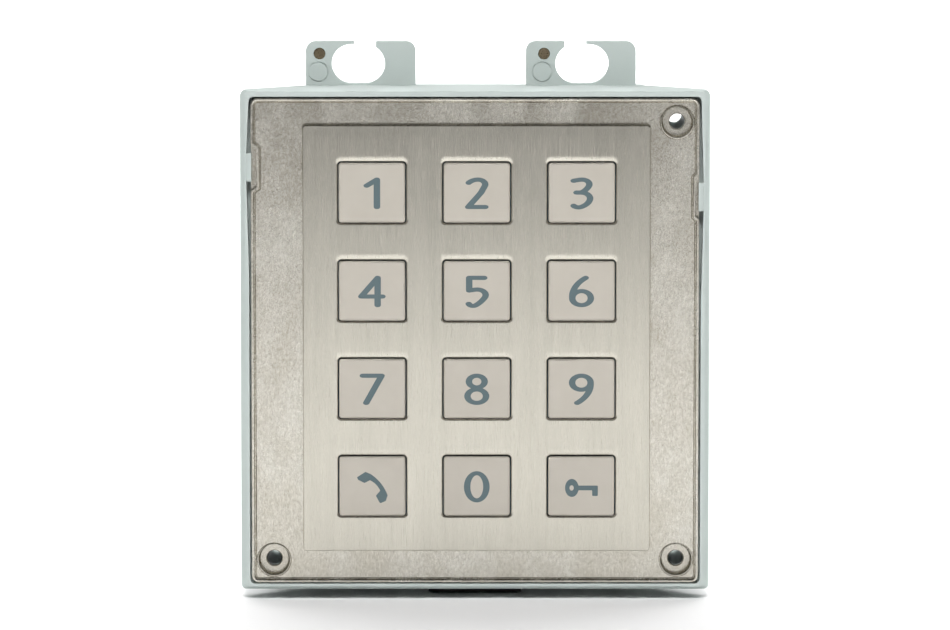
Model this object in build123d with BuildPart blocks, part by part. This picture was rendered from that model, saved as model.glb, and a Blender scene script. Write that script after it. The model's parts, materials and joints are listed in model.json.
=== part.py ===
"""Door-station keypad module: a moulded case with hook tabs, a die-cast front and twelve sprung metal keys.

X runs to the right, the front faces -Y and Z is up. The origin is the centre of the rear mounting face.
Every level below is a height above that rear face, measured towards the front, so level h lies at y = -h.
"""
import math
import os

from build123d import *

os.makedirs("parts", exist_ok=True)

# Case
CASE_W, CASE_H = 98.2, 105.0
LIP_W, LIP_H, LIP_Z = 96.3, 104.15, 0.42
POCKET_W, POCKET_H, POCKET_Z = 94.4, 102.45, 0.17
BACK_W = 72.4
CORNER_R = 1.0
WALL = 2.0
TAPER_START, TAPER_END = 17.0, 4.0
FLANGE_FRONT, LIP_FRONT = 21.6, 24.0
LEDGE = 20.6
CAVITY_W, CAVITY_H = 89.2, 97.4
# where the cavity starts to taper towards the back, and the foot of that taper
INNER_TAPER, INNER_FOOT, INNER_FOOT_HALF = 15.3, 4.8, 34.2

# Hook tabs on the top edge
TAB_REAR, TAB_FRONT = 1.0, 4.0
TAB_W, TAB_TOP, TAB_R = 23.25, 61.8, 2.1
TAB_X = (-24.2, 22.4)
SLOT_Z, SLOT_R, SLOT_HALF = 57.05, 4.15, 1.5
SLOT_X = (-24.7, 22.65)
SLOT_GAP_W, SLOT_GAP_SHIFT = 4.6, 1.4
PIN_X, PIN_Z, PIN_R = (-32.9, 14.6), 59.2, 1.25
PIN_REAR, PIN_SUNK, PIN_EDGE = 0.4, 0.35, 0.15
DISC_X, DISC_Z, DISC_R, DISC_T = (-33.15, 14.2), 55.4, 1.95, 0.15
DISC_GROOVE = 0.2

# Fixing screws that pass through the whole module
SCREW_X, SCREW_Z = 42.2, 46.05
SCREW_PLACES = [(SCREW_X, SCREW_Z), (-SCREW_X, -SCREW_Z), (SCREW_X, -SCREW_Z)]
SCREW_HOLE_R = 1.6
COUNTERBORE_R, COUNTERBORE_FLOOR, COUNTERBORE_EDGE = 3.25, 20.9, 0.2
BOSS_R, BOSS_REAR, BOSS_GAP = 4.5, 19.3, 0.3
PILLAR_R, SHELF_R, SHELF_REAR = 3.8, 6.6, 18.2

# Die-cast front
FRONT_W, FRONT_H, FRONT_Z, FRONT_R = 93.6, 101.85, 0.17, 1.5
SLAB_REAR, FIELD, RIM = 21.4, 23.4, 24.2
RIM_W, GROOVE_W, GROOVE_DEPTH = 0.55, 0.35, 0.35
PLATE_W, PLATE_H, PLATE_X, PLATE_Z, PLATE_R = 72.45, 89.55, 0.33, 0.8, 0.6
PLATE_FRONT, PLATE_REAR = 25.0, 22.6
PLATE_EDGE, PLATE_WALL = 0.45, 2.0
# side notches: middle, straight length and depth; below the notch floor the casting keeps its full width
NOTCH_SLOPE, NOTCH_FLOOR = 1.7, 22.2
LEFT_NOTCH = (36.6, 8.0, 1.2)
RIGHT_NOTCH = (30.4, 8.0, 0.7)
HOOK_LENGTH, HOOK_NIB_REAR, HOOK_TOP = 5.9, 22.5, 23.6
# the lip is thinned in a long wedge on both sides of each hook
RELIEF_DEPTH, RELIEF_HALF = 0.5, 22.0

# Keys
KEYS_X, KEYS_Z = 0.37, 0.66
PITCH_X, PITCH_Z = 21.86, 20.55
COLUMNS = [KEYS_X + PITCH_X * step for step in (-1, 0, 1)]
ROWS = [KEYS_Z + PITCH_Z * step for step in (1.5, 0.5, -0.5, -1.5)]
OPENING_W, OPENING_H, OPENING_R, OPENING_EDGE = 14.4, 13.05, 0.8, 0.3
KEY_GAP = 0.3
KEY_W, KEY_H, KEY_R = OPENING_W - 2 * KEY_GAP, OPENING_H - 2 * KEY_GAP, 0.6
KEY_TOP, KEY_EDGE = 26.0, 0.3
CEILING = 24.8
SKIRT = 0.9
FLANGE_W, FLANGE_H = 15.8, 14.5
CORE_REAR, CORE_SEAT = 20.8, 22.25
LEGEND_TOP = 25.93

# Legends are drawn with a flat nib: wide upright strokes and narrow level ones
NIB = 0.88
NIB_RATIO = 1.55
LEGEND_X, LEGEND_Z = 0.0, -0.1
CAP_Z = 2.86

# Mat, light guide and board
BOARD_W, BOARD_H, BOARD_REAR, BOARD_FRONT = 73.0, 88.0, 15.9, 17.5
MAT_W, MAT_H, MAT_FRONT = 61.0, 76.6, 18.7
PLINTH_W, PLINTH_H, PLINTH_TOP = 9.6, 8.6, 20.75
DOME_CEILING = 19.4
PILL_R, PILL_REAR = 2.0, 18.9
PAD_T = 0.05
GUIDE_W, GUIDE_H, GUIDE_REAR, GUIDE_FRONT = 71.2, 77.2, 18.75, 19.65
GUIDE_GAP = 0.7
FOOT_X, FOOT_Z, FOOT_W, FOOT_H = 33.0, 15.0, 3.2, 8.0
BOARD_SCREWS = [(x, z) for x in (-33.0, 33.0) for z in (-30.0, 0.0, 30.0)]
BOSS_SCREW_R, SHANK_R, HEAD_R, HEAD_T = 2.6, 1.1, 2.2, 1.0
LED_HOLE_R = 1.6
LED_X = (KEYS_X - PITCH_X / 2, KEYS_X + PITCH_X / 2)

# Rear connectors and the cable outlet
SOCKET_X, SOCKET_Z = (-16.0, 16.0), -33.0
SOCKET_W, SOCKET_H, SOCKET_REAR = 14.0, 9.0, 6.9
SOCKET_WALL = 1.0
WINDOW_W, WINDOW_H = 18.0, 13.0
GROMMET_LEVEL, GROMMET_W = 10.0, 19.7
NECK_W, NECK_T, LIPS_T, GROMMET_DROP = 16.0, 6.0, 9.0, 1.95
SLIT_W, SLIT_T, INNER_LIP = 12.0, 1.8, 1.5


def facing(level, x=0.0, z=0.0):
    """Sketch plane at a level, looking to the front, with its own origin at (x, z)."""
    return Plane(origin=(x, -level, z), x_dir=(1, 0, 0), z_dir=(0, -1, 0))


def save(builder, name):
    builder.part.label = name
    export_step(builder.part, f"parts/{name}.step")


def notch_outline(side, notch):
    """Trapezoid bitten out of one side of the front, as points in the sketch plane."""
    middle, length, depth = notch
    edge = side * FRONT_W / 2
    inner = edge - side * depth
    beyond = edge + side
    return [
        (beyond, middle + length / 2 + NOTCH_SLOPE),
        (inner, middle + length / 2),
        (inner, middle - length / 2),
        (beyond, middle - length / 2 - NOTCH_SLOPE),
    ]


# %% Legends
def tangent_run(direction, *points):
    """Arcs through the points in order, each leaving along the one before it."""
    for start, end in zip(points, points[1:]):
        arc = TangentArc(start, end, tangent=direction)
        direction = arc % 1


def nib_stroke(draw):
    """Round-ended stroke along each piece of the line that draw() makes."""
    with BuildLine(mode=Mode.PRIVATE) as path:
        draw()
    for edge in path.edges():
        make_face(Wire([edge]).offset_2d(NIB / 2, kind=Kind.ARC, side=Side.BOTH).edges())


def ring(centre_z, half_w, half_h, centre_x=0.0):
    """Oval stroke round a centre, drawn with the same nib."""
    with Locations((centre_x, centre_z)):
        Ellipse(half_w + NIB / 2, half_h + NIB / 2)
        Ellipse(half_w - NIB / 2, half_h - NIB / 2, mode=Mode.SUBTRACT)


def digit(*strokes, rings=()):
    """One digit from its line strokes and oval rings, widened by the nib ratio."""
    with BuildSketch(Plane.XY) as glyph:
        for oval in rings:
            ring(*oval)
        for draw in strokes:
            nib_stroke(draw)
        scale(by=(NIB_RATIO, 1, 1))
    return glyph.sketch


def two_bowl():
    tangent_run((0.7, 1), (-1.08, 2.2), (0.0, CAP_Z), (1.08, 1.55), (0.55, 0.1))
    Line((0.55, 0.1), (-1.15, -CAP_Z))
    Line((-1.15, -CAP_Z), (1.15, -CAP_Z))


def three_top():
    tangent_run((1, 0.35), (-1.08, 2.62), (-0.1, CAP_Z), (0.98, 1.6), (-0.1, 0.16))
    Line((-0.1, 0.16), (-0.7, 0.16))


def three_bottom():
    tangent_run((1, 0), (-0.1, 0.16), (1.1, -1.32), (-0.1, -CAP_Z), (-1.08, -2.6))


def five_top():
    Polyline((1.0, CAP_Z), (-1.02, CAP_Z), (-1.02, 0.2))


def five_bowl():
    tangent_run((1, 0.3), (-1.02, 0.2), (-0.1, 0.4), (1.1, -1.2), (-0.1, -CAP_Z), (-1.08, -2.6))


def handset():
    """Telephone handset lying on its diagonal."""
    with BuildSketch(Plane.XY) as glyph:
        with BuildLine():
            Polyline((-0.36, 2.7), (-1.45, 3.15), (-3.25, 2.0), (-2.95, 1.45), (-1.66, 0.8), (-0.5, 1.38))
            ThreePointArc((-0.5, 1.38), (0.75, 0.5), (1.64, -0.82))
            Polyline((1.64, -0.82), (0.72, -1.9), (1.6, -3.5), (2.8, -3.0), (3.2, -1.8))
            ThreePointArc((3.2, -1.8), (1.7, 0.85), (-0.36, 2.7))
        make_face()
        fillet(glyph.vertices(), 0.22)
    return glyph.sketch


def door_key():
    """Door key with a round bow, a plain shaft and one bit."""
    with BuildSketch(Plane.XY) as glyph:
        with Locations((-1.95, -0.24)):
            Ellipse(1.43, 1.9)
        with Locations((1.15, -0.24)):
            Rectangle(4.7, 1.0)
        with Locations((2.9, -0.84)):
            Rectangle(1.2, 2.2)
        fillet(glyph.vertices(), 0.2)
        with Locations((-2.0, -0.24)):
            Ellipse(0.45, 0.55, mode=Mode.SUBTRACT)
    return glyph.sketch


SIX_RINGS = [(-1.39, 1.25, 1.47)]
SIX_TAIL = [(0.55, CAP_Z), (-0.75, 1.15), (-1.25, -1.2)]


def six_tail():
    ThreePointArc(*SIX_TAIL)


def nine_tail():
    ThreePointArc(*[(-x, -z) for x, z in SIX_TAIL])


LEGENDS = {
    "1": digit(lambda: Polyline((-0.68, 1.6), (0.68, CAP_Z), (0.68, -CAP_Z))),
    "2": digit(two_bowl),
    "3": digit(three_top, three_bottom),
    "4": digit(lambda: Polyline((0.76, -CAP_Z), (0.76, CAP_Z), (-1.44, -1.05), (1.4, -1.05))),
    "5": digit(five_top, five_bowl),
    "6": digit(six_tail, rings=SIX_RINGS),
    "7": digit(lambda: Polyline((-1.25, CAP_Z), (1.27, CAP_Z), (-0.8, -CAP_Z))),
    "8": digit(rings=[(1.63, 1.06, 1.23), (-1.44, 1.25, 1.42)]),
    "9": digit(nine_tail, rings=[(-z, half_w, half_h) for z, half_w, half_h in SIX_RINGS]),
    "call": handset(),
    "0": digit(rings=[(0.0, 1.3, CAP_Z)]),
    "unlock": door_key(),
}
KEY_PLACES = [(x, z) for z in ROWS for x in COLUMNS]

# %% Rear case
with BuildPart() as rear_case:
    # tapered body, seen from above, and the flange and lip in front of it
    with BuildSketch(Plane.XY.offset(-CASE_H / 2)):
        with BuildLine():
            Polyline(
                (-CASE_W / 2, -LEDGE), (-CASE_W / 2, -TAPER_START), (-BACK_W / 2, -TAPER_END), (-BACK_W / 2, 0),
                (BACK_W / 2, 0), (BACK_W / 2, -TAPER_END), (CASE_W / 2, -TAPER_START), (CASE_W / 2, -LEDGE),
                close=True,
            )
        make_face()
    extrude(amount=CASE_H)
    with BuildSketch(facing(LEDGE)):
        Rectangle(CASE_W, CASE_H)
    extrude(amount=FLANGE_FRONT - LEDGE)
    fillet(rear_case.edges().filter_by(Axis.Y), CORNER_R)
    with BuildSketch(facing(FLANGE_FRONT, 0, LIP_Z)):
        RectangleRounded(LIP_W, LIP_H, CORNER_R)
    extrude(amount=LIP_FRONT - FLANGE_FRONT)
    # pocket for the front, then the cavity behind the ledge
    with BuildSketch(facing(LEDGE, 0, POCKET_Z)):
        RectangleRounded(POCKET_W, POCKET_H, CORNER_R)
    extrude(amount=LIP_FRONT - LEDGE, mode=Mode.SUBTRACT)
    with BuildSketch(Plane.XY.offset(-CAVITY_H / 2)):
        with BuildLine():
            Polyline(
                (-CAVITY_W / 2, -LEDGE), (-CAVITY_W / 2, -INNER_TAPER),
                (-INNER_FOOT_HALF, -INNER_FOOT), (-INNER_FOOT_HALF, -WALL),
                (INNER_FOOT_HALF, -WALL), (INNER_FOOT_HALF, -INNER_FOOT),
                (CAVITY_W / 2, -INNER_TAPER), (CAVITY_W / 2, -LEDGE),
                close=True,
            )
        make_face()
    extrude(amount=CAVITY_H, mode=Mode.SUBTRACT)
    # screw pillars, with a wider shelf at the top that carries the seal round each one
    with BuildSketch(facing(0)):
        with Locations(*SCREW_PLACES):
            Circle(PILLAR_R)
    extrude(amount=LEDGE)
    with BuildSketch(facing(SHELF_REAR)):
        with Locations(*SCREW_PLACES):
            Circle(SHELF_R)
        Rectangle(CASE_W - 1, CASE_H - 1, mode=Mode.INTERSECT)
    extrude(amount=LEDGE - SHELF_REAR)
    with BuildSketch(facing(BOSS_REAR - 0.1)):
        with Locations(*SCREW_PLACES):
            Circle(BOSS_R + BOSS_GAP)
    extrude(amount=LEDGE - BOSS_REAR + 0.1, mode=Mode.SUBTRACT)
    # bosses under the board
    with BuildSketch(facing(0.5)):
        with Locations(*BOARD_SCREWS):
            Circle(BOSS_SCREW_R)
    extrude(amount=BOARD_REAR - 0.5)
    with BuildSketch(facing(WALL)):
        with Locations(*BOARD_SCREWS):
            Circle(SHANK_R)
    extrude(amount=BOARD_REAR - WALL, mode=Mode.SUBTRACT)
    with BuildSketch(facing(0)):
        with Locations(*SCREW_PLACES):
            Circle(SCREW_HOLE_R)
    extrude(amount=LEDGE, mode=Mode.SUBTRACT)
    # hook tabs with open slots
    with BuildSketch(facing(TAB_REAR)) as tabs:
        for x in TAB_X:
            with Locations((x, CASE_H / 2 - 1)):
                Rectangle(TAB_W, TAB_TOP - CASE_H / 2 + 1, align=(Align.CENTER, Align.MIN))
        fillet(tabs.vertices().group_by(Axis.Y)[-1], TAB_R)
        for side, x in zip((1, -1), SLOT_X):
            with Locations((x, SLOT_Z)):
                SlotCenterToCenter(2 * SLOT_HALF, 2 * SLOT_R, mode=Mode.SUBTRACT)
            with Locations((x + side * SLOT_GAP_SHIFT, SLOT_Z)):
                Rectangle(SLOT_GAP_W, 8, align=(Align.CENTER, Align.MIN), mode=Mode.SUBTRACT)
        with Locations(*[(x, PIN_Z) for x in PIN_X]):
            Circle(PIN_R, mode=Mode.SUBTRACT)
    extrude(amount=TAB_FRONT - TAB_REAR)
    with BuildSketch(facing(TAB_FRONT)):
        with Locations(*[(x, DISC_Z) for x in DISC_X]):
            Circle(DISC_R)
    extrude(amount=DISC_T)
    with BuildSketch(facing(TAB_FRONT - DISC_GROOVE)):
        with Locations(*[(x, DISC_Z) for x in DISC_X]):
            Circle(DISC_R + DISC_GROOVE)
            Circle(DISC_R, mode=Mode.SUBTRACT)
    extrude(amount=DISC_GROOVE, mode=Mode.SUBTRACT)
    # windows in the rear wall in front of the bus sockets, and the cable outlet in the bottom wall
    with BuildSketch(facing(0)):
        with Locations(*[(x, SOCKET_Z) for x in SOCKET_X]):
            RectangleRounded(WINDOW_W, WINDOW_H, 1.0)
    extrude(amount=WALL, mode=Mode.SUBTRACT)
    with BuildSketch(Plane.XY.offset(-CASE_H / 2)):
        with Locations((0, -GROMMET_LEVEL)):
            RectangleRounded(NECK_W, NECK_T, 1.5)
    extrude(amount=(CASE_H - CAVITY_H) / 2, mode=Mode.SUBTRACT)
    # snap hooks that hold the front at its side notches
    for side, notch in ((-1, LEFT_NOTCH), (1, RIGHT_NOTCH)):
        reach = min(RELIEF_HALF, POCKET_Z + POCKET_H / 2 - CORNER_R - notch[0])
        wall = side * POCKET_W / 2
        with BuildSketch(facing(LEDGE)):
            with BuildLine():
                Polyline(
                    (wall - side, notch[0] + reach), (wall, notch[0] + reach),
                    (wall + side * RELIEF_DEPTH, notch[0] + HOOK_LENGTH / 2),
                    (wall + side * RELIEF_DEPTH, notch[0] - HOOK_LENGTH / 2),
                    (wall, notch[0] - RELIEF_HALF), (wall - side, notch[0] - RELIEF_HALF), close=True,
                )
            make_face()
        extrude(amount=LIP_FRONT - LEDGE, mode=Mode.SUBTRACT)
        with BuildSketch(facing(LEDGE, side * (POCKET_W / 2 + 0.4), notch[0])):
            Rectangle(1.0, HOOK_LENGTH)
        extrude(amount=HOOK_TOP - LEDGE)
        with BuildSketch(facing(HOOK_NIB_REAR, side * POCKET_W / 2, notch[0])):
            Rectangle(1.0, HOOK_LENGTH)
        extrude(amount=HOOK_TOP - HOOK_NIB_REAR)
save(rear_case, "rear_case")

# %% Hook pins and cable grommet
with BuildPart() as hook_pins:
    with BuildSketch(facing(PIN_REAR)):
        with Locations(*[(x, PIN_Z) for x in PIN_X]):
            Circle(PIN_R)
    extrude(amount=TAB_FRONT - PIN_SUNK - PIN_REAR)
    chamfer(hook_pins.edges().group_by(Axis.Y)[0], PIN_EDGE)
save(hook_pins, "hook_pins")

with BuildPart() as cable_grommet:
    with BuildSketch(Plane.XY.offset(-CASE_H / 2 - GROMMET_DROP)):
        with Locations((0, -GROMMET_LEVEL)):
            RectangleRounded(GROMMET_W, LIPS_T, 2.0)
    extrude(amount=GROMMET_DROP)
    with BuildSketch(Plane.XY.offset(-CASE_H / 2)):
        with Locations((0, -GROMMET_LEVEL)):
            RectangleRounded(NECK_W, NECK_T, 1.5)
    extrude(amount=(CASE_H - CAVITY_H) / 2)
    with BuildSketch(Plane.XY.offset(-CAVITY_H / 2)):
        with Locations((0, -GROMMET_LEVEL)):
            RectangleRounded(GROMMET_W - 1, LIPS_T - 1, 2.0)
    extrude(amount=INNER_LIP)
    with BuildSketch(Plane.XY.offset(-CASE_H / 2 - GROMMET_DROP)):
        with Locations((0, -GROMMET_LEVEL)):
            RectangleRounded(SLIT_W, SLIT_T, 0.8)
    extrude(amount=GROMMET_DROP + (CASE_H - CAVITY_H) / 2 + INNER_LIP, mode=Mode.SUBTRACT)
save(cable_grommet, "cable_grommet")

# %% Seal between the front and the case
with BuildPart() as frame_seal:
    with BuildSketch(facing(LEDGE)):
        with Locations((0, POCKET_Z)):
            Rectangle(FRONT_W - 0.6, FRONT_H - 0.6)
        Rectangle(CAVITY_W + 0.4, CAVITY_H + 0.2, mode=Mode.SUBTRACT)
        with Locations(*SCREW_PLACES):
            Circle(SHELF_R - 0.2)
        with Locations((0, POCKET_Z)):
            Rectangle(FRONT_W - 0.6, FRONT_H - 0.6, mode=Mode.INTERSECT)
        with Locations(*SCREW_PLACES):
            Circle(BOSS_R + BOSS_GAP, mode=Mode.SUBTRACT)
        # no room outside the bosses in the three corners
        for x, z in SCREW_PLACES:
            with Locations((x + math.copysign(5, x), z + math.copysign(5, z))):
                Rectangle(10, 10, mode=Mode.SUBTRACT)
    extrude(amount=SLAB_REAR - LEDGE)
save(frame_seal, "frame_seal")

# %% Die-cast front
with BuildPart() as front_frame:
    with BuildSketch(facing(SLAB_REAR, 0, FRONT_Z)):
        RectangleRounded(FRONT_W, FRONT_H, FRONT_R)
    extrude(amount=NOTCH_FLOOR - SLAB_REAR)
    with BuildSketch(facing(SLAB_REAR)) as outline:
        with Locations((0, FRONT_Z)):
            RectangleRounded(FRONT_W, FRONT_H, FRONT_R)
        with BuildLine():
            Polyline(*notch_outline(-1, LEFT_NOTCH), close=True)
        make_face(mode=Mode.SUBTRACT)
        with BuildLine():
            Polyline(*notch_outline(1, RIGHT_NOTCH), close=True)
        make_face(mode=Mode.SUBTRACT)
    extrude(amount=FIELD - SLAB_REAR)
    # rim round the edge and the groove inside it
    with BuildSketch(facing(SLAB_REAR)):
        add(outline.sketch_local)
        offset(amount=-RIM_W, kind=Kind.INTERSECTION, mode=Mode.SUBTRACT)
    extrude(amount=RIM - SLAB_REAR)
    with BuildSketch(facing(FIELD - GROOVE_DEPTH)):
        offset(outline.sketch_local, amount=-RIM_W, kind=Kind.INTERSECTION)
        offset(
            outline.sketch_local, amount=-RIM_W - GROOVE_W, kind=Kind.INTERSECTION, mode=Mode.SUBTRACT
        )
    extrude(amount=GROOVE_DEPTH, mode=Mode.SUBTRACT)
    # raised plate, hollow behind
    with BuildSketch(facing(SLAB_REAR, PLATE_X, PLATE_Z)):
        RectangleRounded(PLATE_W, PLATE_H, PLATE_R)
    extrude(amount=PLATE_FRONT - SLAB_REAR)
    fillet(front_frame.faces().sort_by(Axis.Y)[0].edges(), PLATE_EDGE)
    with BuildSketch(facing(SLAB_REAR, PLATE_X, PLATE_Z)):
        RectangleRounded(PLATE_W - 2 * PLATE_WALL, PLATE_H - 2 * PLATE_WALL, 2)
    extrude(amount=PLATE_REAR - SLAB_REAR, mode=Mode.SUBTRACT)
    # key openings with an eased front edge
    with BuildSketch(facing(PLATE_REAR)):
        with Locations(*KEY_PLACES):
            RectangleRounded(OPENING_W, OPENING_H, OPENING_R)
    extrude(amount=PLATE_FRONT - PLATE_REAR, mode=Mode.SUBTRACT)
    opening_edges = [
        wire.edges()
        for wire in front_frame.faces().sort_by(Axis.Y)[0].inner_wires()
    ]
    chamfer([edge for edges in opening_edges for edge in edges], OPENING_EDGE)
    # counterbored screw holes on bosses
    with BuildSketch(facing(BOSS_REAR)):
        with Locations(*SCREW_PLACES):
            Circle(BOSS_R)
    extrude(amount=SLAB_REAR - BOSS_REAR)
    with BuildSketch(facing(COUNTERBORE_FLOOR)):
        with Locations(*SCREW_PLACES):
            Circle(COUNTERBORE_R)
    extrude(amount=FIELD - COUNTERBORE_FLOOR, mode=Mode.SUBTRACT)
    mouths = front_frame.edges().filter_by(GeomType.CIRCLE).filter_by(
        lambda edge: abs(edge.radius - COUNTERBORE_R) < 0.01 and abs(edge.center().Y + FIELD) < 0.01
    )
    chamfer(mouths, COUNTERBORE_EDGE)
    with BuildSketch(facing(BOSS_REAR)):
        with Locations(*SCREW_PLACES):
            Circle(SCREW_HOLE_R)
    extrude(amount=RIM, mode=Mode.SUBTRACT)
save(front_frame, "front_frame")

# %% Keys: metal cap, translucent core behind it and the carbon pill that its plinth carries
for (name, glyph), (x, z) in zip(LEGENDS.items(), KEY_PLACES):
    with BuildPart() as cap:
        with BuildSketch(facing(CORE_SEAT, x, z)):
            RectangleRounded(KEY_W, KEY_H, KEY_R)
        extrude(amount=KEY_TOP - CORE_SEAT)
        chamfer(cap.faces().sort_by(Axis.Y)[0].edges(), KEY_EDGE)
        with BuildSketch(facing(CORE_SEAT, x, z)):
            Rectangle(KEY_W - 2 * SKIRT, KEY_H - 2 * SKIRT)
        extrude(amount=CEILING - CORE_SEAT, mode=Mode.SUBTRACT)
        with BuildSketch(facing(CEILING, x + LEGEND_X, z + LEGEND_Z)):
            add(glyph)
        extrude(amount=KEY_TOP - CEILING, mode=Mode.SUBTRACT)
    save(cap, f"key_{name}")

    with BuildPart() as core:
        with BuildSketch(facing(CORE_REAR, x, z)):
            Rectangle(FLANGE_W, FLANGE_H)
        extrude(amount=CORE_SEAT - CORE_REAR)
        with BuildSketch(facing(CORE_SEAT, x, z)):
            Rectangle(KEY_W - 2 * SKIRT, KEY_H - 2 * SKIRT)
        extrude(amount=CEILING - CORE_SEAT)
        with BuildSketch(facing(CEILING, x + LEGEND_X, z + LEGEND_Z)):
            add(glyph)
        extrude(amount=LEGEND_TOP - CEILING)
    save(core, f"legend_{name}")

    with BuildPart() as pill:
        with BuildSketch(facing(PILL_REAR, x, z)):
            Circle(PILL_R)
        extrude(amount=DOME_CEILING - PILL_REAR)
    save(pill, f"contact_pill_{name}")

# %% Silicone mat and light guide
with BuildPart() as key_mat:
    with BuildSketch(facing(BOARD_FRONT)):
        RectangleRounded(MAT_W, MAT_H, 2)
    extrude(amount=MAT_FRONT - BOARD_FRONT)
    with BuildSketch(facing(MAT_FRONT)):
        with Locations(*KEY_PLACES):
            RectangleRounded(PLINTH_W, PLINTH_H, 1)
    extrude(amount=PLINTH_TOP - MAT_FRONT)
    with BuildSketch(facing(BOARD_FRONT)):
        with Locations(*KEY_PLACES):
            RectangleRounded(PLINTH_W - 2, PLINTH_H - 2, 0.8)
    extrude(amount=DOME_CEILING - BOARD_FRONT, mode=Mode.SUBTRACT)
    with BuildSketch(facing(BOARD_FRONT)):
        with Locations(*[(x, z) for x in LED_X for z in ROWS]):
            Circle(LED_HOLE_R)
    extrude(amount=MAT_FRONT - BOARD_FRONT, mode=Mode.SUBTRACT)
save(key_mat, "key_mat")

with BuildPart() as light_guide:
    with BuildSketch(facing(GUIDE_REAR)):
        RectangleRounded(GUIDE_W, GUIDE_H, 2)
        with Locations(*KEY_PLACES):
            RectangleRounded(PLINTH_W + 2 * GUIDE_GAP, PLINTH_H + 2 * GUIDE_GAP, 1, mode=Mode.SUBTRACT)
        with Locations(*BOARD_SCREWS):
            Circle(SHANK_R + 0.2, mode=Mode.SUBTRACT)
    extrude(amount=GUIDE_FRONT - GUIDE_REAR)
    # feet at both sides that stand on the board and keep the guide off the mat
    with BuildSketch(facing(BOARD_FRONT)):
        with Locations(*[(x, z) for x in (-FOOT_X, FOOT_X) for z in (-FOOT_Z, FOOT_Z)]):
            Rectangle(FOOT_W, FOOT_H)
    extrude(amount=GUIDE_REAR - BOARD_FRONT)
save(light_guide, "light_guide")

# %% Board and what is soldered to it
with BuildPart() as circuit_board:
    with BuildSketch(facing(BOARD_REAR)):
        RectangleRounded(BOARD_W, BOARD_H, 1.5)
        with Locations(*BOARD_SCREWS):
            Circle(SHANK_R + 0.2, mode=Mode.SUBTRACT)
    extrude(amount=BOARD_FRONT - BOARD_REAR)
save(circuit_board, "circuit_board")

with BuildPart() as contact_pads:
    with BuildSketch(facing(BOARD_FRONT)):
        for x, z in KEY_PLACES:
            for side in (-1, 1):
                with Locations((x + side * 1.4, z)):
                    Rectangle(2.2, 5)
    extrude(amount=PAD_T)
save(contact_pads, "contact_pads")

with BuildPart() as backlight_leds:
    with BuildSketch(facing(BOARD_FRONT)):
        with Locations(*[(x, z) for x in LED_X for z in ROWS]):
            Rectangle(2.0, 1.25)
    extrude(amount=0.8)
save(backlight_leds, "backlight_leds")


def chip(name, width, height, thickness, x, z):
    """Packaged device soldered flat on the rear of the board."""
    with BuildPart() as package:
        with BuildSketch(facing(BOARD_REAR - thickness, x, z)):
            Rectangle(width, height)
        extrude(amount=thickness)
        chamfer(package.faces().sort_by(Axis.Y)[-1].edges(), 0.2)
    save(package, name)


chip("controller_chip", 10.0, 10.0, 1.4, 0.0, 12.0)
chip("bus_transceiver", 5.0, 4.0, 1.5, -18.0, -14.0)
chip("address_switch", 12.0, 7.0, 3.5, 18.0, 22.0)

with BuildPart() as buzzer:
    with BuildSketch(facing(BOARD_REAR - 5.0, 14.0, -8.0)):
        Circle(6.0)
        Circle(1.0, mode=Mode.SUBTRACT)
    extrude(amount=5.0)
save(buzzer, "buzzer")

with BuildPart() as capacitors:
    with BuildSketch(facing(BOARD_REAR - 6.0)):
        with Locations((-20.0, 26.0), (-20.0, 18.0), (-6.0, -14.0)):
            Circle(2.5)
    extrude(amount=6.0)
    fillet(capacitors.edges().group_by(Axis.Y)[-1], 0.4)
save(capacitors, "capacitors")

with BuildPart() as resistors:
    with BuildSketch(facing(BOARD_REAR - 0.5, -20.0, 2.0)):
        with GridLocations(3.0, 4.0, 4, 3):
            Rectangle(1.6, 0.8)
    extrude(amount=0.5)
save(resistors, "resistors")

for side_name, x in zip(("left", "right"), SOCKET_X):
    with BuildPart() as socket:
        with BuildSketch(facing(SOCKET_REAR, x, SOCKET_Z)):
            Rectangle(SOCKET_W, SOCKET_H)
        extrude(amount=BOARD_REAR - SOCKET_REAR)
        with BuildSketch(facing(SOCKET_REAR, x, SOCKET_Z)):
            Rectangle(SOCKET_W - 2 * SOCKET_WALL, SOCKET_H - 2 * SOCKET_WALL)
            with Locations((0, SOCKET_H / 2 - SOCKET_WALL / 2)):
                Rectangle(4.0, SOCKET_WALL)
        extrude(amount=6.5, mode=Mode.SUBTRACT)
    save(socket, f"bus_socket_{side_name}")

    with BuildPart() as pins:
        with BuildSketch(facing(SOCKET_REAR + 1.5, x, SOCKET_Z)):
            with GridLocations(2.0, 2.0, 5, 2):
                Rectangle(0.5, 0.5)
        extrude(amount=5.0)
    save(pins, f"bus_pins_{side_name}")

with BuildPart() as board_screws:
    with BuildSketch(facing(6.0)):
        with Locations(*BOARD_SCREWS):
            Circle(SHANK_R)
    extrude(amount=GUIDE_FRONT - 6.0)
    with BuildSketch(facing(GUIDE_FRONT)):
        with Locations(*BOARD_SCREWS):
            Circle(HEAD_R)
    extrude(amount=HEAD_T)
    with BuildSketch(facing(GUIDE_FRONT + HEAD_T - 0.5)):
        with Locations(*BOARD_SCREWS):
            Rectangle(2.4, 0.5)
            Rectangle(0.5, 2.4)
    extrude(amount=0.5, mode=Mode.SUBTRACT)
save(board_screws, "board_screws")

print("parts:", len(os.listdir("parts")))
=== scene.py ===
# %% [markdown]
# # A door-station keypad module
#
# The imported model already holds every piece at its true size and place. This lesson dresses it: the
# die-cast front is modelled again with soft, rounded edges, and every other piece keeps its shape and gets
# a finish.

# %% Load the frame
import json
import math

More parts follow.
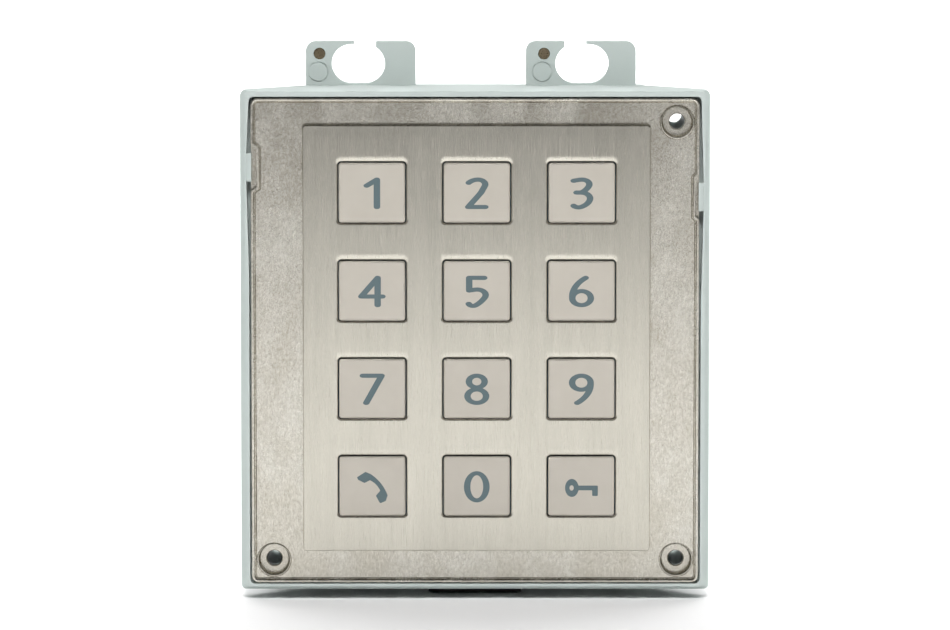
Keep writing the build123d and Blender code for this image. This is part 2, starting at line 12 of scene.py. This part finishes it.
import bmesh
import bpy
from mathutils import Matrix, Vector


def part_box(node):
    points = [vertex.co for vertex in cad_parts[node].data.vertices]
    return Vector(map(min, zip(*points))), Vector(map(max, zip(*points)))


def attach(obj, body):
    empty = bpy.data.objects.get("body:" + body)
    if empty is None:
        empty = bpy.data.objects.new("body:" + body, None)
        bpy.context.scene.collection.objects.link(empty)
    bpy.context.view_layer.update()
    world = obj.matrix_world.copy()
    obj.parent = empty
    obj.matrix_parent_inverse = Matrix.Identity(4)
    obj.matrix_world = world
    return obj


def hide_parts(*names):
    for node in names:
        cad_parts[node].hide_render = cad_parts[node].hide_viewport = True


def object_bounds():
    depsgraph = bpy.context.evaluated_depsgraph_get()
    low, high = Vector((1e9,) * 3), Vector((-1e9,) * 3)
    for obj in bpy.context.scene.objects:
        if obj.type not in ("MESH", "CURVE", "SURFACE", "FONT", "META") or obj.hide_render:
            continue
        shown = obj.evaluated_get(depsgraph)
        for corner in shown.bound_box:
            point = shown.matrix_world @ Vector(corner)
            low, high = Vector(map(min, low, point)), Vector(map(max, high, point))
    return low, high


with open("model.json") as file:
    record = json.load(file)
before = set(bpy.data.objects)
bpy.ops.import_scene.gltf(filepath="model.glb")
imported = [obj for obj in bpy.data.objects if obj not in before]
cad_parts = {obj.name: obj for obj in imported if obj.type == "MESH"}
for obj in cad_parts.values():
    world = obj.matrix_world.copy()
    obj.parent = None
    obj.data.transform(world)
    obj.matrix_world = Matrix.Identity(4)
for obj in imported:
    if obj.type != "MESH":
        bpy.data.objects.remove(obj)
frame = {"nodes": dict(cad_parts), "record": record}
cad_box = [list(corner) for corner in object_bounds()]
print("pieces in the frame:", len(frame["nodes"]))

# %% [markdown]
# ## Camera
#
# The module is seen almost square on, from a little above, with a long lens from a bit over a metre away.
# A long lens keeps the sides nearly parallel, and the small height shows the top face and the hook tabs.

# %% Camera
MM = 0.001
CAMERA_DISTANCE = 1200 * MM
CAMERA_RISE = math.radians(6.0)
AIM = Vector((0.0, -24 * MM, 5.7 * MM))

camera_data = bpy.data.cameras.new("camera")
camera_data.lens = 217.5
camera_data.sensor_width = 36
camera_data.clip_end = 20
camera = bpy.data.objects.new("camera", camera_data)
away = Vector((0, -math.cos(CAMERA_RISE), math.sin(CAMERA_RISE)))
camera.location = AIM + CAMERA_DISTANCE * away
camera.rotation_euler = (-away).to_track_quat("-Z", "Y").to_euler()
bpy.context.collection.objects.link(camera)
bpy.context.scene.camera = camera
print("camera at", [round(c, 3) for c in camera.location])

# %% [markdown]
# ## A small language for materials
#
# A finish is a graph of nodes. `Wire` wraps one output so that graph maths reads like arithmetic, and
# `Finish` owns one material and makes any other node in one call.


# %% Material helpers
class Wire:
    """One output of a material's graph, with arithmetic."""

    def __init__(self, finish, socket):
        self.finish, self.socket = finish, socket

    def _math(self, operation, first, second):
        return self.finish.node("ShaderNodeMath", {"operation": operation}, {0: first, 1: second})

    def __add__(self, other):
        return self._math("ADD", self, other)

    __radd__ = __add__

    def __mul__(self, other):
        return self._math("MULTIPLY", self, other)

    __rmul__ = __mul__


class Finish:
    """One material: its graph, its surface shader and the nodes that feed it."""

    def __init__(self, name, **surface):
        self.material = bpy.data.materials.new(name)
        self.material.use_nodes = True
        self.tree = self.material.node_tree
        self.shader = self.tree.nodes["Principled BSDF"]
        self.set(**surface)

    def node(self, kind, settings=None, sockets=None, output=0):
        made = self.tree.nodes.new(kind)
        for key, value in (settings or {}).items():
            setattr(made, key, value)
        for key, value in (sockets or {}).items():
            self.plug(made.inputs[key], value)
        return Wire(self, made.outputs[output])

    def plug(self, socket, value):
        if isinstance(value, Wire):
            self.tree.links.new(value.socket, socket)
        elif isinstance(value, tuple) and len(value) == 3 and socket.type == "RGBA":
            socket.default_value = (*value, 1)
        else:
            socket.default_value = value

    def set(self, **surface):
        for key, value in surface.items():
            self.plug(self.shader.inputs[key.replace("_", " ").title()], value)

    def place(self, scale=(1, 1, 1)):
        """The point on the piece in millimetres, stretched by scale."""
        spot = self.node("ShaderNodeTexCoord", output="Object")
        return self.node(
            "ShaderNodeVectorMath",
            {"operation": "MULTIPLY"},
            {0: spot, 1: tuple(s / MM for s in scale)},
        )

    def noise(self, scale, size=1.0, detail=3.0, rough=0.55):
        """Soft noise with features about `size` mm across, stretched by scale."""
        return self.node(
            "ShaderNodeTexNoise",
            None,
            {"Vector": self.place(scale), "Scale": 1 / size, "Detail": detail, "Roughness": rough},
        )

    def blend(self, factor, first, second):
        return self.node(
            "ShaderNodeMix",
            {"data_type": "RGBA"},
            {"Factor": factor, 6: first, 7: second},
            output=2,
        )

    def between(self, value, low, high, start=0.0, end=1.0):
        return self.node(
            "ShaderNodeMapRange",
            {"interpolation_type": "SMOOTHSTEP"},
            {0: value, 1: low, 2: high, 3: start, 4: end},
        )

    def bump(self, height, depth_mm, strength=1.0):
        self.set(
            normal=self.node(
                "ShaderNodeBump", None, {"Height": height, "Distance": depth_mm * MM, "Strength": strength}
            )
        )


# %% [markdown]
# ## Brushed plate
#
# The raised plate is nickel-plated zinc, linished up and down with an abrasive belt, so it carries
# thousands of hair-thin upright lines. An image of scratches would do it, but stretched noise is sharper at
# any size: the same noise squeezed 80 times sideways gives the lines, a wider one gives the faint bands.


# %% Brushed nickel
def brushed_nickel():
    finish = Finish("brushed_nickel", metallic=1.0)
    hair = finish.noise((13, 13, 0.16), detail=4, rough=0.65)
    band = finish.noise((0.7, 0.7, 0.03), detail=2)
    cloud = finish.noise((0.05, 0.05, 0.05), detail=2)
    tone = finish.between(0.5 * hair + 0.3 * band + 0.2 * cloud, 0.3, 0.7)
    finish.set(
        base_color=finish.blend(tone, (0.565, 0.54, 0.47), (0.665, 0.635, 0.555)),
        roughness=finish.between(hair, 0.3, 0.7, 0.19, 0.30),
    )
    finish.bump(hair, 0.012, 0.6)
    return finish.material


# %% [markdown]
# ## Plated casting
#
# Round the plate the casting was never machined. Plating copies the die's skin: a bright surface with soft,
# slightly upright ripples, small pits and duller patches.


# %% Plated casting
def plated_casting():
    finish = Finish("plated_casting", metallic=1.0)
    ripple = finish.noise((3.4, 3.4, 1.3), detail=5, rough=0.75)
    grain = finish.noise((8, 8, 5), detail=3)
    patch = finish.noise((0.12, 0.12, 0.08), detail=3)
    pits = finish.node(
        "ShaderNodeTexVoronoi", {"feature": "F1"}, {"Vector": finish.place((0.35, 0.35, 0.35)), "Scale": 1.0}
    )
    pit = finish.between(pits, 0.03, 0.09)
    tone = finish.between(0.65 * ripple + 0.35 * patch, 0.3, 0.7)
    finish.set(
        base_color=finish.blend(tone, (0.48, 0.445, 0.37), (0.83, 0.805, 0.73)),
        roughness=finish.between(0.5 * patch + 0.5 * grain, 0.3, 0.7, 0.17, 0.32),
    )
    finish.bump(0.75 * ripple + 0.1 * grain + 0.15 * pit, 0.07, 0.8)
    return finish.material


# %% [markdown]
# ## Key metal
#
# The caps are satin: fine shot-blasting and a lacquered plating, so part of the light is scattered. No
# direction, only a close, even grain. The skirt inside the gap is painted near black as painted shade
# for the deep gap round each cap.


# %% Satin key metal
def satin_keys():
    finish = Finish("satin_key_metal", metallic=0.5)
    depth = finish.node("ShaderNodeSeparateXYZ", None, {0: finish.place()}, output=1)
    # Painted shade: behind the plate's front face the cap is painted near black, standing in for the shade
    # in the gap.
    gap_shade_mask = finish.between(depth, -25.6, -24.9)
    grain = finish.noise((14, 14, 14), detail=3, rough=0.6)
    cloud = finish.noise((0.25, 0.25, 0.25), detail=2)
    finish.set(
        base_color=finish.blend(
            gap_shade_mask, finish.blend(cloud, (0.60, 0.56, 0.49), (0.655, 0.615, 0.545)), (0.08, 0.07, 0.06)
        ),
        roughness=finish.between(grain, 0.3, 0.7, 0.50, 0.60),
    )
    finish.bump(grain, 0.006, 0.5)
    return finish.material


# %% [markdown]
# ## Moulded and small parts
#
# Plastics, rubbers and small metals share one recipe: a base colour that drifts a little, a fine grain in
# the surface, and a roughness that follows the grain. Only the numbers differ.


# %% One recipe for plain finishes
def moulded(name, colour, roughness, grain_mm=0.15, depth=0.004, drift=0.06, metallic=0.0, **surface):
    finish = Finish(name, metallic=metallic, **surface)
    grain = finish.noise((1, 1, 1), size=grain_mm, detail=3)
    cloud = finish.noise((1, 1, 1), size=grain_mm * 60, detail=2)
    dark = tuple(c * (1 - drift) for c in colour)
    light = tuple(min(1.0, c * (1 + drift)) for c in colour)
    finish.set(
        base_color=finish.blend(cloud, dark, light),
        roughness=finish.between(grain, 0.3, 0.7, roughness - 0.05, roughness + 0.06),
    )
    finish.bump(grain, depth, 0.5)
    return finish.material


FINISHES = {
    "key_metal": satin_keys(),
    "legend_resin": moulded("legend_resin", (0.100, 0.145, 0.158), 0.42),
    "case_plastic": moulded("case_plastic", (0.505, 0.56, 0.54), 0.42, 0.25, 0.006, 0.03),
    "black_rubber": moulded("black_rubber", (0.018, 0.018, 0.018), 0.72, 0.3, 0.02),
    "mat_silicone": moulded("mat_silicone", (0.68, 0.68, 0.65), 0.6, 0.3, 0.01),
    "clear_plastic": moulded(
        "clear_plastic", (0.82, 0.85, 0.85), 0.12, 0.5, 0.002, transmission_weight=0.8
    ),
    "brass": moulded("brass", (0.30, 0.24, 0.155), 0.30, 0.2, 0.01, 0.2, metallic=1.0),
    "board_green": moulded("board_green", (0.012, 0.11, 0.05), 0.3, 0.6, 0.004, 0.2),
    "pad_gold": moulded("pad_gold", (0.83, 0.60, 0.25), 0.28, 0.2, 0.002, metallic=1.0),
    "led_white": moulded("led_white", (0.85, 0.85, 0.70), 0.25),
    "chip_black": moulded("chip_black", (0.02, 0.02, 0.022), 0.5, 0.12, 0.006),
    "switch_plastic": moulded("switch_plastic", (0.40, 0.02, 0.02), 0.4),
    "socket_plastic": moulded("socket_plastic", (0.03, 0.03, 0.034), 0.45),
    "capacitor_can": moulded("capacitor_can", (0.62, 0.62, 0.64), 0.3, 0.2, 0.003, metallic=1.0),
    "steel_screw": moulded("steel_screw", (0.56, 0.56, 0.55), 0.32, 0.2, 0.006, 0.1, metallic=1.0),
    "carbon": moulded("carbon", (0.01, 0.01, 0.01), 0.8, 0.3, 0.02),
    "plated_casting": plated_casting(),
}
NODE_SLOT = {part["node"]: part["material_slot"] for part in frame["record"]["subparts"]}
for name, piece in frame["nodes"].items():
    piece.data.materials.clear()
    piece.data.materials.append(FINISHES[NODE_SLOT[name]])
print("finishes:", len(FINISHES))

# %% [markdown]
# ## Softer edges
#
# Neither a moulding nor a metal key has a knife edge. Each piece keeps its shape, and a weld and a small
# bevel round its edges so that they catch a line of light. Weighted normals keep the big faces flat.

# %% Soften the case, the keys and the small parts
KEY_NAMES = [name for name in frame["nodes"] if name.startswith("key_") and name != "key_mat"]
SOFT_EDGES = {"rear_case": 0.22, "cable_grommet": 0.3, "hook_pins": 0.08}
SOFT_EDGES |= {name: 0.12 for name in KEY_NAMES}
SHARP_ANGLE = math.radians(40)


def soften(piece, width_mm, segments=3):
    weld = piece.modifiers.new("weld", "WELD")
    weld.merge_threshold = 0.002 * MM
    bevel = piece.modifiers.new("bevel", "BEVEL")
    bevel.width = width_mm * MM
    bevel.segments = segments
    bevel.limit_method = "ANGLE"
    bevel.angle_limit = SHARP_ANGLE
    bevel.use_clamp_overlap = True
    bevel.harden_normals = False
    normals = piece.modifiers.new("normals", "WEIGHTED_NORMAL")
    normals.keep_sharp = True


for name, width in SOFT_EDGES.items():
    soften(frame["nodes"][name], width)
print("softened pieces:", len(SOFT_EDGES))

# %% [markdown]
# ## Outlines of the front
#
# The front is a stack of closed outlines at different levels. Joining one outline to the next gives walls
# and rounded edges, and filling between outlines gives the flats. An outline is a list of (x, z) points in
# mm.


# %% Outlines
def rounded(width, height, radius, x=0.0, z=0.0, steps=8):
    """Rounded rectangle, anticlockwise."""
    points = []
    for quarter, (sx, sz) in enumerate(((1, 1), (-1, 1), (-1, -1), (1, -1))):
        centre = (x + sx * (width / 2 - radius), z + sz * (height / 2 - radius))
        for step in range(steps + 1):
            turn = math.pi / 2 * (quarter + step / steps)
            points.append((centre[0] + radius * math.cos(turn), centre[1] + radius * math.sin(turn)))
    return points


def round_hole(radius, x, z, steps=64):
    return [
        (x + radius * math.cos(2 * math.pi * s / steps), z + radius * math.sin(2 * math.pi * s / steps))
        for s in range(steps)
    ]


def inset(points, distance):
    """The outline moved inwards, with mitred corners."""
    moved = []
    for before, here, after in zip(points[-1:] + points[:-1], points, points[1:] + points[:1]):
        first = Vector((here[0] - before[0], here[1] - before[1])).normalized()
        second = Vector((after[0] - here[0], after[1] - here[1])).normalized()
        normal = Vector((-first.y - second.y, first.x + second.x)) / (1 + first.dot(second))
        moved.append((here[0] + distance * normal.x, here[1] + distance * normal.y))
    return moved


# %% [markdown]
# The outline of the casting has a shallow notch in each side, where the snap hooks of the case grip it. The
# notch goes in between the rounded corners of the plain outline.

# %% Outline of the casting
FRONT_LOW, FRONT_HIGH = [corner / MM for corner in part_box("front_frame")]
FRONT_W = FRONT_HIGH.x - FRONT_LOW.x
FRONT_H = FRONT_HIGH.z - FRONT_LOW.z
FRONT_Z = (FRONT_HIGH.z + FRONT_LOW.z) / 2
FRONT_R = 1.5
# The middle, length and depth of each notch.
LEFT_NOTCH, RIGHT_NOTCH = (36.6, 8.0, 1.2), (30.4, 8.0, 0.7)
NOTCH_SLOPE = 1.7


def notch_points(side, middle, length, depth, share):
    edge = side * FRONT_W / 2
    floor = edge - side * depth * share
    rise = NOTCH_SLOPE * depth / (depth + 1)
    half = length / 2
    points = [
        (edge, middle - half - rise), (floor, middle - half),
        (floor, middle + half), (edge, middle + half + rise),
    ]
    return points if side > 0 else points[::-1]


def casting_outline(share):
    """Outline of the casting with its side notches cut to a share of their depth."""
    plain = rounded(FRONT_W, FRONT_H, FRONT_R, 0, FRONT_Z)
    half = len(plain) // 2
    left, right = notch_points(-1, *LEFT_NOTCH, share), notch_points(1, *RIGHT_NOTCH, share)
    return plain[:half] + left + plain[half:] + right


notched = casting_outline(1)
print("points round the casting:", len(notched))


# %% [markdown]
# ## Building the mesh
#
# `Shell` collects vertices and faces. `wall` joins outlines of the same length, one after another, with
# quads, and `flat` fills the space between an outline and the holes in it.


# %% Shell builder
class Shell:
    """A mesh made of outlines at levels above the rear face."""

    def __init__(self, name, materials):
        self.bm = bmesh.new()
        self.name, self.materials = name, materials

    def ring(self, outline, level):
        return [self.bm.verts.new((x * MM, -level * MM, z * MM)) for x, z in outline]

    def wall(self, rings, material):
        for lower, upper in zip(rings, rings[1:]):
            count = len(lower)
            for i in range(count):
                j = (i + 1) % count
                face = self.bm.faces.new((lower[i], lower[j], upper[j], upper[i]))
                face.material_index = material

    def flat(self, rings, material):
        edges = []
        for ring in rings:
            for a, b in zip(ring, ring[1:] + ring[:1]):
                edges.append(self.bm.edges.get((a, b)) or self.bm.edges.new((a, b)))
        made = bmesh.ops.triangle_fill(self.bm, use_beauty=True, use_dissolve=False, edges=edges)
        for face in made["geom"]:
            if isinstance(face, bmesh.types.BMFace):
                face.material_index = material

    def finish(self):
        bmesh.ops.remove_doubles(self.bm, verts=self.bm.verts, dist=0.001 * MM)
        bmesh.ops.recalc_face_normals(self.bm, faces=self.bm.faces)
        mesh = bpy.data.meshes.new(self.name)
        self.bm.to_mesh(mesh)
        open_edges = sum(1 for e in self.bm.edges if not e.is_manifold)
        self.bm.free()
        for material in self.materials:
            mesh.materials.append(material)
        mesh.shade_smooth()
        mesh.set_sharp_from_angle(angle=SHARP_ANGLE)
        piece = bpy.data.objects.new(self.name, mesh)
        bpy.context.collection.objects.link(piece)
        normals = piece.modifiers.new("normals", "WEIGHTED_NORMAL")
        normals.keep_sharp = True
        print(self.name, "faces", len(mesh.polygons), "open edges", open_edges)
        return piece


# %% [markdown]
# ## The die-cast front
#
# From the outside in: a low rim with rounded shoulders, a groove, the field, then the raised plate. It is
# one mesh with three finishes. Levels are millimetres in front of the rear face of the case.

# %% Measures of the casting
SLAB_REAR, NOTCH_FLOOR, FIELD, RIM = 21.4, 22.2, 23.4, 24.2
PLATE_FRONT, PLATE_REAR = 25.0, 22.6
PLATE_W, PLATE_H, PLATE_X, PLATE_Z, PLATE_R = 72.45, 89.55, 0.33, 0.8, 0.6
CAST, BRUSHED, INSIDE = 0, 1, 2

# Painted shade: the walls inside the key openings get this near-black zinc, standing in for the shade deep
# in the gaps.
gap_shade_zinc = moulded("gap_shade_zinc", (0.10, 0.095, 0.085), 0.6, metallic=0.8)
shell = Shell("die_cast_front", [FINISHES["plated_casting"], brushed_nickel(), gap_shade_zinc])
print("the plate stands", round(PLATE_FRONT - FIELD, 2), "mm above the field")

# %% [markdown]
# ### Rim and groove
#
# One profile goes all the way round. Each pair in it is a distance inwards and a level, and `inset` moves
# the whole outline in by that distance, so the rim keeps its width at the corners and the notches.

# %% Rim and groove
RIM_W, GROOVE_W, GROOVE_DEPTH = 0.55, 0.35, 0.35
RIM_ROUND, GROOVE_ROUND, FIELD_ROUND = 0.14, 0.1, 0.08
bend = 0.3 * RIM_ROUND
groove_floor = FIELD - GROOVE_DEPTH
groove_end = RIM_W + GROOVE_W
rim_profile = [
    (0, NOTCH_FLOOR), (0, RIM - RIM_ROUND), (bend, RIM - bend), (RIM_ROUND, RIM),
    (RIM_W - RIM_ROUND, RIM), (RIM_W - bend, RIM - bend), (RIM_W, RIM - RIM_ROUND),
    (RIM_W, groove_floor + GROOVE_ROUND), (RIM_W + GROOVE_ROUND, groove_floor),
    (groove_end - GROOVE_ROUND, groove_floor), (groove_end, FIELD - FIELD_ROUND),
    (groove_end + FIELD_ROUND, FIELD),
]
rim_rings = [shell.ring(casting_outline(0), level) for level in (SLAB_REAR, NOTCH_FLOOR)]
rim_rings += [shell.ring(inset(notched, inwards), level) for inwards, level in rim_profile]
shell.wall(rim_rings, CAST)
print("outlines across the rim:", len(rim_rings))

# %% [markdown]
# ### Edge of the raised plate
#
# The plate rises from the field with a small slope at its foot and a quarter round at its front edge.

# %% Edge of the plate
PLATE_FOOT, PLATE_EDGE, EDGE_STEPS = 0.12, 0.3, 5


def plate_outline(grow=0.0):
    return rounded(PLATE_W + 2 * grow, PLATE_H + 2 * grow, PLATE_R + grow, PLATE_X, PLATE_Z)


plate_rings = [shell.ring(plate_outline(PLATE_FOOT), FIELD), shell.ring(plate_outline(), FIELD + PLATE_FOOT)]
for step in range(EDGE_STEPS + 1):
    turn = math.pi / 2 * step / EDGE_STEPS
    inwards, down = PLATE_EDGE * (1 - math.cos(turn)), PLATE_EDGE * (1 - math.sin(turn))
    plate_rings.append(shell.ring(plate_outline(-inwards), PLATE_FRONT - down))
shell.wall(plate_rings, BRUSHED)
print("outlines up the plate's edge:", len(plate_rings))

# %% [markdown]
# ### Key openings
#
# The plate rolls off softly into every opening, over more than a millimetre above a key and much less below
# it. That slope makes the bright line above each key. Inside the openings the zinc is painted dark, as
# painted shade for the deep gaps.

# %% Key openings
CAP_W, CAP_H, KEY_GAP, OPENING_R = 13.8, 12.45, 0.3, 0.8
ROLL_WIDTH, ROLL_DROP, ROLL_STEPS = 1.25, 0.10, 7
ROLL_SPREAD, ROLL_CURVE = 1.4, 2.6


def opening(grow, x, z):
    """The opening round a key at (x, z), grown to the sides and mostly upwards."""
    width, height = CAP_W + 2 * KEY_GAP + grow, CAP_H + 2 * KEY_GAP + 1.3 * grow
    return rounded(width, height, OPENING_R + 0.5 * grow, x, z + 0.35 * grow)


plate_holes, pocket_holes = [], []
for name in KEY_NAMES:
    low, high = [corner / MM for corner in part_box(name)]
    x, z = (low.x + high.x) / 2, (low.z + high.z) / 2
    rings = [shell.ring(opening(0, x, z), PLATE_REAR)]
    for step in range(ROLL_STEPS + 1):
        grow = ROLL_WIDTH * (step / ROLL_STEPS) ** ROLL_SPREAD
        drop = ROLL_DROP * (1 - grow / ROLL_WIDTH) ** ROLL_CURVE
        rings.append(shell.ring(opening(grow, x, z), PLATE_FRONT - drop))
    # The first wall inside each opening carries the painted shade.
    shell.wall(rings[:2], INSIDE)
    shell.wall(rings[1:], BRUSHED)
    pocket_holes.append(rings[0])
    plate_holes.append(rings[-1])
shell.flat([plate_rings[-1]] + plate_holes, BRUSHED)
print("key openings:", len(plate_holes))

# %% [markdown]
# ### Screw places
#
# Three counterbores take the fixing screws. Each profile starts in a fine ring groove, goes down the
# counterbore and through the screw hole, and comes back along the boss behind. Its pairs are radius and
# level.

# %% Screw places
SCREW_X, SCREW_Z = 42.2, 46.05
BOSS_R, BOSS_REAR = 4.5, 19.3
COUNTERBORE_R, COUNTERBORE_FLOOR, COUNTERBORE_EDGE = 3.25, 20.9, 0.2
SCREW_HOLE_R, RING_R = 1.6, 3.64
field_holes, slab_holes = [plate_rings[0]], []
for x, z in ((SCREW_X, SCREW_Z), (-SCREW_X, -SCREW_Z), (SCREW_X, -SCREW_Z)):
    profile = [
        (RING_R, FIELD), (RING_R - 0.07, FIELD - 0.15), (RING_R - 0.14, FIELD - 0.02),
        (COUNTERBORE_R + COUNTERBORE_EDGE / 2, FIELD), (COUNTERBORE_R, FIELD - COUNTERBORE_EDGE),
        (COUNTERBORE_R, COUNTERBORE_FLOOR + 0.3), (COUNTERBORE_R - 0.3, COUNTERBORE_FLOOR),
        (SCREW_HOLE_R + 0.15, COUNTERBORE_FLOOR), (SCREW_HOLE_R, COUNTERBORE_FLOOR - 0.15),
        (SCREW_HOLE_R, BOSS_REAR), (BOSS_R, BOSS_REAR), (BOSS_R, SLAB_REAR),
    ]
    rings = [shell.ring(round_hole(radius, x, z), level) for radius, level in profile]
    shell.wall(rings, CAST)
    field_holes.append(rings[0])
    slab_holes.append(rings[-1])
shell.flat([rim_rings[-1]] + field_holes, CAST)
print("screw places:", len(slab_holes))

# %% [markdown]
# ### Hollow back
#
# The casting is hollow behind the keys, where the caps and their cores need room. The back closes the mesh,
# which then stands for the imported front.

# %% Hollow back
pocket = rounded(PLATE_W - 4, PLATE_H - 4, 2, PLATE_X, PLATE_Z)
pocket_rings = [shell.ring(pocket, SLAB_REAR), shell.ring(pocket, PLATE_REAR)]
shell.wall(pocket_rings, CAST)
shell.flat([pocket_rings[1]] + pocket_holes, CAST)
shell.flat([rim_rings[0], pocket_rings[0]] + slab_holes, CAST)

front = shell.finish()
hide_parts("front_frame")
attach(front, "housing")

# %% [markdown]
# ## Floor and light
#
# The module stands on a plain pale floor. A wide overhead light behind it turns that floor pure white, and
# the floor in front is what the plate mirrors: a pool of light close by makes the lower plate bright, and
# the dim floor further off makes its top darker. One soft light in front and above brightens the satin
# keys. It and the overhead light are hidden from mirror reflections, so no edge of the metal burns out. A
# long dim card low in front is left for the slopes that face upwards to mirror.

# %% Stage
FLOOR_Z = cad_box[0][2]
floor_finish = Finish("floor", base_color=(0.9, 0.9, 0.9), roughness=0.8)
floor_mesh = bpy.data.meshes.new("floor")
floor_size = 6.0
floor_mesh.from_pydata(
    [(x * floor_size, y * floor_size, FLOOR_Z) for x, y in ((-1, -1), (1, -1), (1, 1), (-1, 1))], [],
    [(0, 1, 2, 3)],
)
floor_mesh.materials.append(floor_finish.material)
floor = bpy.data.objects.new("floor", floor_mesh)
bpy.context.collection.objects.link(floor)

world = bpy.data.worlds.new("world")
world.use_nodes = True
background = world.node_tree.nodes["Background"]
background.inputs["Color"].default_value = (0.08, 0.08, 0.082, 1)
background.inputs["Strength"].default_value = 1.0
bpy.context.scene.world = world


def soft_light(name, place, target, width, height, power, spread=180, mirrored=True):
    data = bpy.data.lights.new(name, "AREA")
    data.shape = "RECTANGLE"
    data.size, data.size_y = width, height
    data.energy = power
    data.spread = math.radians(spread)
    lamp = bpy.data.objects.new(name, data)
    lamp.location = place
    lamp.visible_glossy = mirrored
    lamp.rotation_euler = (Vector(target) - Vector(place)).to_track_quat("-Z", "Y").to_euler()
    bpy.context.collection.objects.link(lamp)


soft_light("overhead", (0, 2.2, 1.5), (0, 2.2, 0), 3.6, 3.4, 160, mirrored=False)
soft_light("front", (0, -1.3, 1.5), (0, 0, 0), 1.0, 0.7, 2.0, 28, mirrored=False)
soft_light("pool", (0, -0.5, 1.2), (0, -0.5, 0), 0.5, 0.3, 0.62, 30)
soft_light("card", (0, -2.5, 1.05), (0, 0, 0), 3.0, 0.6, 1.6)
bpy.context.scene.view_settings.view_transform = "Standard"
bpy.context.scene.view_settings.look = "None"
print("floor at", round(FLOOR_Z, 4))
